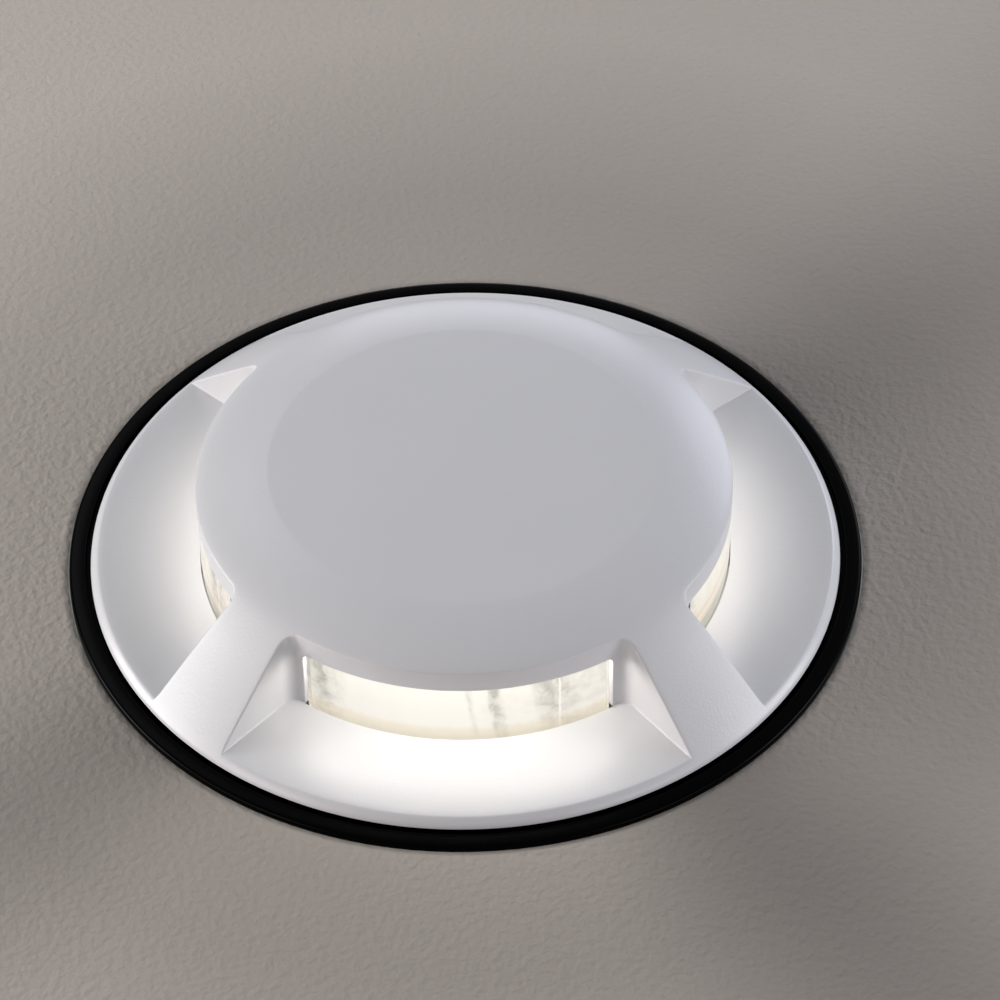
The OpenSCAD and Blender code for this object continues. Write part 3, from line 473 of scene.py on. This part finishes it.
def coated(name, colour, roughness, grain=0.4, depth=0.006, mottle=0.04, metallic=0.0, wear=None,
           coat=0.0, specular=0.5):
    """A finish of one colour that varies a little, with a grain in its normal, and with rubbed edges of
    another colour where wear gives one."""
    material = bpy.data.materials.new(name)
    material.use_nodes = True
    tree = material.node_tree
    shader = tree.nodes["Principled BSDF"]
    place = add(tree, "ShaderNodeTexCoord").outputs["Object"]
    fine = add(tree, "ShaderNodeGroup", node_tree=GRAIN)
    tree.links.new(place, fine.inputs["Vector"])
    fine.inputs["Size"].default_value = grain
    dark = [c * (1 - mottle) for c in colour] + [1]
    light = [min(1, c * (1 + mottle)) for c in colour] + [1]
    tint = add(tree, "ShaderNodeMix", {0: fine.outputs["Mottle"], 6: dark, 7: light}, data_type="RGBA")
    colour_out = tint.outputs[2]
    if wear:
        rubbed = add(tree, "ShaderNodeGroup", node_tree=WEAR)
        tree.links.new(place, rubbed.inputs["Vector"])
        tint = add(tree, "ShaderNodeMix", {0: rubbed.outputs["Edge"], 6: colour_out, 7: list(wear) + [1]},
                   data_type="RGBA")
        colour_out = tint.outputs[2]
    gloss = add(tree, "ShaderNodeMapRange", {"Value": fine.outputs["Mottle"], "To Min": roughness * 0.88,
                                             "To Max": min(1, roughness * 1.12)})
    bump = add(tree, "ShaderNodeBump", {"Height": fine.outputs["Height"], "Strength": 1.0,
                                        "Distance": depth * MM})
    tree.links.new(colour_out, shader.inputs["Base Color"])
    tree.links.new(gloss.outputs[0], shader.inputs["Roughness"])
    tree.links.new(bump.outputs[0], shader.inputs["Normal"])
    shader.inputs["Metallic"].default_value = metallic
    shader.inputs["Specular IOR Level"].default_value = specular
    shader.inputs["Coat Weight"].default_value = coat
    shader.inputs["Coat Roughness"].default_value = 0.2
    return material


def clear_lens():
    """Clear acrylic: shadow and diffuse rays pass straight through, so the lit parts behind it light the
    window."""
    material = bpy.data.materials.new("clear_lens")
    material.use_nodes = True
    tree = material.node_tree
    shader = tree.nodes["Principled BSDF"]
    shader.inputs["Base Color"].default_value = (1.0, 0.995, 0.975, 1)
    shader.inputs["Transmission Weight"].default_value = 1.0
    shader.inputs["IOR"].default_value = 1.49
    place = add(tree, "ShaderNodeTexCoord").outputs["Object"]
    haze = add(tree, "ShaderNodeTexNoise", {"Vector": place, "Scale": 220.0, "Detail": 2.0})
    rough = add(tree, "ShaderNodeMapRange", {"Value": haze.outputs["Fac"], "To Min": 0.02, "To Max": 0.09})
    tree.links.new(rough.outputs[0], shader.inputs["Roughness"])
    through = add(tree, "ShaderNodeBsdfTransparent")
    ray = add(tree, "ShaderNodeLightPath")
    straight = add(tree, "ShaderNodeMath", {0: ray.outputs["Is Shadow Ray"],
                                            1: ray.outputs["Is Diffuse Ray"]}, operation="MAXIMUM")
    either = add(tree, "ShaderNodeMixShader", {0: straight.outputs[0], 1: shader.outputs[0],
                                               2: through.outputs[0]})
    tree.links.new(either.outputs[0], tree.nodes["Material Output"].inputs["Surface"])
    return material


def ramp(tree, value, low, high, stops):
    """A colour or grey that follows straight lines between its stops; places run from low to high."""
    part = add(tree, "ShaderNodeMapRange", {"Value": value, "From Min": low, "From Max": high})
    node = add(tree, "ShaderNodeValToRGB", {"Fac": part.outputs[0]})
    band = node.color_ramp
    while len(band.elements) < len(stops):
        band.elements.new(0.5)
    for element, (place, _) in zip(band.elements, stops):
        element.position = (place - low) / (high - low)
    for element, (_, tone) in zip(band.elements, stops):
        element.color = (tone, tone, tone, 1) if isinstance(tone, float) else (*tone, 1)
    return node.outputs["Color"]


def lit_wall():
    """The lens's inner wall, lit by the LEDs. Along each window upright olive streaks dim it between and
    beside the LEDs, and thin bright moulding lines stand near its ends. Upwards from the foot, beige
    bands where the flange shows through and then warm white; in the other three windows the bands are
    grey-green and tan."""
    material = bpy.data.materials.new("lit_lens_wall")
    material.use_nodes = True
    tree = material.node_tree
    shader = tree.nodes["Principled BSDF"]
    unrolled = add(tree, "ShaderNodeUVMap", uv_map="unrolled").outputs[0]
    parts = add(tree, "ShaderNodeSeparateXYZ", {0: unrolled})
    stretch = add(tree, "ShaderNodeMapping", {"Vector": unrolled, "Scale": (1.0, 0.25, 1.0)})
    waver = add(tree, "ShaderNodeTexNoise", {"Vector": stretch.outputs[0], "Scale": 0.9, "Detail": 3.0})
    cloud = add(tree, "ShaderNodeTexNoise", {"Vector": unrolled, "Scale": 0.55, "Detail": 5.0,
                                             "Roughness": 0.62, "Distortion": 0.4})
    shift = add(tree, "ShaderNodeMath", {0: waver.outputs["Fac"], 1: 1.6, 2: -0.8},
                operation="MULTIPLY_ADD")
    lean = add(tree, "ShaderNodeMath", {0: parts.outputs["Y"], 1: 0.12, 2: -0.9},
               operation="MULTIPLY_ADD")
    moved = add(tree, "ShaderNodeMath", {0: parts.outputs["X"], 1: shift.outputs[0]}, operation="ADD")
    moved = add(tree, "ShaderNodeMath", {0: moved.outputs[0], 1: lean.outputs[0]}, operation="ADD")
    half_step = MAP_STEP / 2
    along = add(tree, "ShaderNodeMath", {0: moved.outputs[0], 1: half_step, 2: -half_step},
                operation="WRAP")
    straight = add(tree, "ShaderNodeMath", {0: parts.outputs["X"], 1: half_step, 2: -half_step},
                   operation="WRAP")
    streaks = ramp(tree, along.outputs[0], -27, 27, [
        (-27, 0.3), (-23.6, 0.45), (-21.8, 0.3), (-20.4, 0.1), (-19.4, 0.55), (-17.0, 0.9), (-6.0, 1.0),
        (1.2, 1.0), (1.9, 0.62), (2.6, 0.97), (4.4, 0.9), (5.1, 0.12), (6.0, 0.3), (7.0, 0.93),
        (11.0, 0.88), (12.4, 0.4), (14.2, 0.22), (16.6, 0.45), (18.6, 0.74), (23.0, 0.72), (27, 0.4)])
    lines = ramp(tree, straight.outputs[0], -27, 27, [
        (-23.5, 0.0), (-23.3, 0.8), (-23.1, 0.0), (15.0, 0.0), (15.2, 0.9), (15.4, 0.0)])
    # The streaks break up and fade towards the foot
    fade = ramp(tree, parts.outputs["Y"], 0, 14, [(1.0, 0.35), (5.0, 0.75), (10.0, 1.0)])
    broken = add(tree, "ShaderNodeMapRange", {"Value": cloud.outputs["Fac"], "From Min": 0.35,
                                              "From Max": 0.6, "To Min": 1.15, "To Max": 0.45})
    depth = add(tree, "ShaderNodeMath", {0: fade, 1: broken.outputs[0]}, operation="MULTIPLY")
    dim = add(tree, "ShaderNodeMath", {0: 1.0, 1: streaks}, operation="SUBTRACT")
    dim = add(tree, "ShaderNodeMath", {0: dim.outputs[0], 1: depth.outputs[0]}, operation="MULTIPLY")
    dim = add(tree, "ShaderNodeMath", {0: dim.outputs[0], 1: lines}, operation="SUBTRACT", use_clamp=True)
    tint = add(tree, "ShaderNodeMix", {0: dim.outputs[0], 6: (1.08, 1.04, 0.96, 1),
                                       7: (0.33, 0.31, 0.26, 1)}, data_type="RGBA")
    ruffle = add(tree, "ShaderNodeMath", {0: cloud.outputs["Fac"], 1: 1.2, 2: -0.6},
                 operation="MULTIPLY_ADD")
    height = add(tree, "ShaderNodeMath", {0: parts.outputs["Y"], 1: ruffle.outputs[0]}, operation="ADD")
    front = ramp(tree, height.outputs[0], 0, 12, [
        (0.6, (0.84, 0.79, 0.70)), (1.4, (0.90, 0.85, 0.76)), (2.2, (0.94, 0.89, 0.81)),
        (2.8, (0.98, 0.96, 0.91)), (3.3, (1.0, 1.0, 1.0)), (12.0, (1.0, 1.0, 1.0))])
    aside = ramp(tree, parts.outputs["Y"], 0, 12, [
        (1.6, (0.50, 0.50, 0.44)), (2.9, (0.56, 0.56, 0.49)), (3.05, (0.98, 0.90, 0.80)),
        (3.5, (0.72, 0.63, 0.52)), (3.75, (0.95, 0.87, 0.77)), (5.0, (0.93, 0.84, 0.74)),
        (5.3, (0.78, 0.69, 0.57)), (5.6, (0.95, 0.88, 0.79)), (7.6, (1.0, 0.97, 0.93)),
        (12.0, (1.0, 1.0, 1.0))])
    other = add(tree, "ShaderNodeMath", {0: parts.outputs["X"], 1: MAP_STEP / 2}, operation="GREATER_THAN")
    bands = add(tree, "ShaderNodeMix", {0: other.outputs[0], 6: front, 7: aside}, data_type="RGBA")
    glow = add(tree, "ShaderNodeMix", {0: 1.0, 6: tint.outputs[2], 7: bands.outputs[2]}, data_type="RGBA",
               blend_type="MULTIPLY")
    tree.links.new(glow.outputs[2], shader.inputs["Emission Color"])
    shader.inputs["Emission Strength"].default_value = 0.83
    shader.inputs["Base Color"].default_value = (0.06, 0.057, 0.05, 1)
    shader.inputs["Roughness"].default_value = 0.5
    return material


def lit_head():
    """The lens's top edge in each slot: its underside sends the LEDs' light down and outwards onto the
    window's floor. The window that faces -Y gets the most, and there it leaves at a slant."""
    material = bpy.data.materials.new("lit_lens_head")
    material.use_nodes = True
    tree = material.node_tree
    shader = tree.nodes["Principled BSDF"]
    side = add(tree, "ShaderNodeNewGeometry")
    unrolled = add(tree, "ShaderNodeUVMap", uv_map="unrolled").outputs[0]
    parts = add(tree, "ShaderNodeSeparateXYZ", {0: unrolled})
    other = add(tree, "ShaderNodeMath", {0: parts.outputs["X"], 1: MAP_STEP / 2}, operation="GREATER_THAN")
    facing = add(tree, "ShaderNodeLayerWeight", {"Blend": 0.5})
    grazing = add(tree, "ShaderNodeMapRange", {"Value": facing.outputs["Facing"], "From Min": 0.05,
                                               "From Max": 0.6})
    throw = add(tree, "ShaderNodeMath", {0: other.outputs[0], 1: -0.7, 2: 0.7}, operation="MULTIPLY_ADD")
    share = add(tree, "ShaderNodeMath", {0: grazing.outputs[0], 1: throw.outputs[0], 2: 0.3},
                operation="MULTIPLY_ADD")
    share = add(tree, "ShaderNodeMath", {0: share.outputs[0], 1: side.outputs["Backfacing"]},
                operation="MULTIPLY")
    tint = add(tree, "ShaderNodeMix", {0: share.outputs[0], 6: (0, 0, 0, 1), 7: (1.0, 0.95, 0.87, 1)},
               data_type="RGBA")
    tree.links.new(tint.outputs[2], shader.inputs["Emission Color"])
    shader.inputs["Emission Strength"].default_value = 33.0
    shader.inputs["Base Color"].default_value = (0.5, 0.49, 0.46, 1)
    return material


POWDER_COAT = coated("powder_coat_white", (0.62, 0.625, 0.65), 0.34, grain=0.42, depth=0.02,
                     mottle=0.015, specular=0.5, coat=0.15)
RING_BLACK = coated("sleeve_black_gloss", (0.0006, 0.0006, 0.0008), 0.26, grain=0.9, depth=0.004,
                    mottle=0.2, specular=0.04)
CLEAR = clear_lens()
LIT = lit_wall()
LIT_HEAD = lit_head()
FOOT = coated("lens_foot_frosted", (0.60, 0.56, 0.48), 0.6, grain=0.3, depth=0.01, mottle=0.06)

STEEL = coated("stainless_steel", (0.56, 0.56, 0.55), 0.28, grain=0.25, depth=0.002, metallic=1.0,
               mottle=0.08, wear=(0.8, 0.8, 0.79))
FINISHES = {
    "sleeve_plastic": coated("sleeve_moulded_black", (0.022, 0.022, 0.024), 0.48, grain=0.5, depth=0.02,
                             mottle=0.15, wear=(0.06, 0.06, 0.062)),
    "rubber_black": coated("black_rubber", (0.018, 0.018, 0.018), 0.75, grain=0.3, depth=0.01, mottle=0.25),
    "stainless": STEEL,
    "silicone_red": coated("red_silicone", (0.36, 0.035, 0.02), 0.45, grain=0.4, depth=0.006, mottle=0.1),
    "deflector_white": coated("deflector_white", (0.86, 0.86, 0.84), 0.3, grain=0.5, depth=0.003,
                              mottle=0.02),
    "board_white": coated("board_solder_mask", (0.80, 0.81, 0.79), 0.35, grain=0.3, depth=0.003,
                          mottle=0.03),
    "led_phosphor": coated("led_phosphor", (0.85, 0.62, 0.10), 0.4, grain=0.2, depth=0.003, mottle=0.1),
    "thermal_pad": coated("thermal_pad_grey", (0.24, 0.27, 0.33), 0.7, grain=0.4, depth=0.01, mottle=0.1),
    "connector_ivory": coated("connector_ivory", (0.70, 0.67, 0.56), 0.42, grain=0.3, depth=0.004,
                              mottle=0.05),
    "lead_red": coated("lead_red", (0.42, 0.015, 0.012), 0.38, grain=0.3, depth=0.003, mottle=0.08),
    "lead_blue": coated("lead_blue", (0.012, 0.05, 0.30), 0.38, grain=0.3, depth=0.003, mottle=0.08),
    "die_cast": coated("die_cast_alloy", (0.42, 0.43, 0.44), 0.5, grain=0.5, depth=0.03, metallic=1.0,
                       mottle=0.12, wear=(0.7, 0.7, 0.71)),
    "driver_case": coated("driver_case_grey", (0.025, 0.027, 0.032), 0.5, grain=0.4, depth=0.02,
                          mottle=0.12, wear=(0.08, 0.08, 0.085)),
    "brass": coated("brass_screws", (0.60, 0.42, 0.16), 0.3, grain=0.25, depth=0.003, metallic=1.0,
                    mottle=0.12),
    "nylon_black": coated("black_nylon", (0.02, 0.02, 0.021), 0.42, grain=0.35, depth=0.012, mottle=0.15,
                          wear=(0.07, 0.07, 0.07)),
    "spring_steel": coated("spring_steel", (0.50, 0.50, 0.50), 0.32, grain=0.3, depth=0.003, metallic=1.0,
                           mottle=0.15, wear=(0.75, 0.75, 0.76)),
}


# Pieces

quarter = cover_grids()
build_piece("cover_shell", [turned(grid, k * math.pi / 2) for k in range(QUARTERS) for grid in quarter],
            [POWDER_COAT], "head", "cover")

lens = build_piece("lens_cup", [lens_grid()], [CLEAR, LIT, LIT_HEAD, FOOT], "head", "lens")
unroll_lens(lens)

lip = [(BORE_R, 0.6), (BARREL_R, 0.6), (BARREL_R, 0), (FLANGE_R - 0.3, 0), (FLANGE_R, 0.35),
       (FLANGE_R, FLANGE_Z), (SEAT_R, FLANGE_Z), (SEAT_R, 1.2), (BORE_R, 1.2)]
build_piece("collar_ring", [revolved(rounded(lip, [0.1, 0.1, 0.1, 0.1, 0.1, 0.6, 0.18, 0.15, 0.15]))],
            [RING_BLACK], "sleeve", "sleeve_collar")

for part in frame["record"]["subparts"]:
    if part["material_slot"] in FINISHES:
        for holder in frame["nodes"][part["node"]].material_slots:
            holder.material = FINISHES[part["material_slot"]]


# Paving, light and camera

def paving():
    """A round of paving with the sleeve's hole in it, whose edge dips a little: rings whose spacing grows
    outwards."""
    hole_r = FLANGE_R + 0.15
    r = np.append(hole_r, hole_r + np.geomspace(1, 2400, 40))
    z = np.append(PAVING_Z - 0.25, np.full(40, PAVING_Z))
    grid = polar(r[:, None], np.linspace(0, 2 * math.pi, 129), z[:, None])
    build_piece("paving", [grid], [paving_painted_light()])


def paving_painted_light():
    """A rendered floor with light and shade painted into its colour: painted lighter on the left and
    further out, painted fans of the windows' light, and a painted shadow band behind each of three ribs,
    which fades smoothly to its sides."""
    material = coated("paving_render", (0.35, 0.319, 0.288), 0.85, grain=1.3, depth=0.3, mottle=0.03)
    tree = material.node_tree
    base = tree.nodes["Principled BSDF"].inputs["Base Color"]
    place = add(tree, "ShaderNodeTexCoord").outputs["Object"]
    parts = add(tree, "ShaderNodeSeparateXYZ", {0: place})
    angle = add(tree, "ShaderNodeMath", {0: parts.outputs["Y"], 1: parts.outputs["X"]}, operation="ARCTAN2")
    # Painted light: the floor's colour is lighter on the left than on the right, as if lit from the left
    to_right = add(tree, "ShaderNodeMath", {0: angle.outputs[0]}, operation="COSINE")
    painted_fans = add(tree, "ShaderNodeMath", {0: to_right.outputs[0], 1: -0.095, 2: 0.875},
               operation="MULTIPLY_ADD")
    # Each painted shadow band behind a rib: its direction and half its width in degrees, and its depth
    for middle, half, depth in [(-140, 22, 0.29), (-53, 22, 0.35), (36, 26, 0.28)]:
        aside = add(tree, "ShaderNodeMath", {0: angle.outputs[0], 1: math.radians(middle)},
                    operation="SUBTRACT")
        aside = add(tree, "ShaderNodeMath", {0: aside.outputs[0]}, operation="ABSOLUTE")
        band = add(tree, "ShaderNodeMapRange", {"Value": aside.outputs[0], "From Max": math.radians(half),
                                                "To Min": 1 - depth}, interpolation_type="SMOOTHSTEP")
        painted_fans = add(tree, "ShaderNodeMath", {0: painted_fans.outputs[0], 1: band.outputs[0]}, operation="MULTIPLY")
    # Painted light: the floor's colour grows lighter further out from the light
    out = add(tree, "ShaderNodeVectorMath", {0: place}, operation="LENGTH")
    far = add(tree, "ShaderNodeMapRange", {"Value": out.outputs["Value"], "From Min": 0.088,
                                           "From Max": 0.135, "To Min": 1.13, "To Max": 1.5})
    lit = add(tree, "ShaderNodeMath", {0: painted_fans.outputs[0], 1: far.outputs[0]}, operation="MULTIPLY")
    tone = add(tree, "ShaderNodeCombineXYZ", {0: lit.outputs[0], 1: lit.outputs[0], 2: lit.outputs[0]})
    # The painted light and shade multiply the floor's base colour
    colour = add(tree, "ShaderNodeMix", {0: 1.0, 6: base.links[0].from_socket, 7: tone.outputs[0]},
                 data_type="RGBA", blend_type="MULTIPLY")
    tree.links.new(colour.outputs[2], base)
    return material


def area_lamp(name, azimuth, elevation, distance, size, power, colour):
    """A square soft lamp that faces the cover; its direction in degrees, its distance and size in mm."""
    data = bpy.data.lights.new(name, "AREA")
    data.size, data.energy, data.color = size * MM, power, colour
    azimuth, elevation = math.radians(azimuth), math.radians(elevation)
    away = Vector((math.cos(azimuth) * math.cos(elevation), math.sin(azimuth) * math.cos(elevation),
                   math.sin(elevation)))
    lamp = bpy.data.objects.new(name, data)
    lamp.location = away * distance * MM
    lamp.rotation_euler = away.to_track_quat("Z", "Y").to_euler()
    bpy.context.scene.collection.objects.link(lamp)


paving()
area_lamp("left_softbox", 180, 14, 720, 380, 4.55, (1.0, 0.99, 0.98))
area_lamp("left_front_softbox", 218, 18, 900, 420, 2.0, (1.0, 0.82, 0.78))
area_lamp("right_softbox", 0, 18, 900, 420, 3.9, (0.97, 0.95, 1.0))
area_lamp("right_front_softbox", 318, 18, 900, 420, 1.2, (1.0, 0.95, 0.97))
area_lamp("back_right_softbox", 55, 22, 900, 420, 2.0, (0.84, 0.86, 1.0))
area_lamp("back_softbox", 90, 12, 900, 420, 1.25, (0.94, 0.90, 1.0))
area_lamp("back_high_softbox", 118, 45, 900, 300, 0.5, (0.90, 0.90, 1.0))

world = bpy.data.worlds.new("studio")
world.use_nodes = True
world.node_tree.nodes["Background"].inputs["Color"].default_value = (0.94, 1.0, 0.98, 1)
world.node_tree.nodes["Background"].inputs["Strength"].default_value = 0.2
scene = bpy.context.scene
scene.world = world
scene.view_settings.view_transform = "Standard"

# The photograph's camera: its place, its turn about the vertical, its pitch and its roll
CAMERA_AT, CAMERA_LENS = Vector((19.03, -431.74, 439.71)), 137.91
heading, pitch, roll = math.radians(1.775), math.radians(44.708), math.radians(-0.736)
forward = Vector((-math.sin(heading) * math.cos(pitch), math.cos(heading) * math.cos(pitch),
                  -math.sin(pitch)))
right = forward.cross(Vector((0, 0, 1))).normalized()
up = right.cross(forward)
right, up = (math.cos(roll) * right + math.sin(roll) * up, -math.sin(roll) * right + math.cos(roll) * up)
camera = bpy.data.objects.new("camera", bpy.data.cameras.new("camera"))
camera.data.sensor_width, camera.data.lens = 36, CAMERA_LENS
camera.data.clip_start, camera.data.clip_end = 0.01, 20
turn = Matrix((right, up, -forward)).transposed().to_4x4()
camera.matrix_world = Matrix.Translation(CAMERA_AT * MM) @ turn
scene.collection.objects.link(camera)
scene.camera = camera
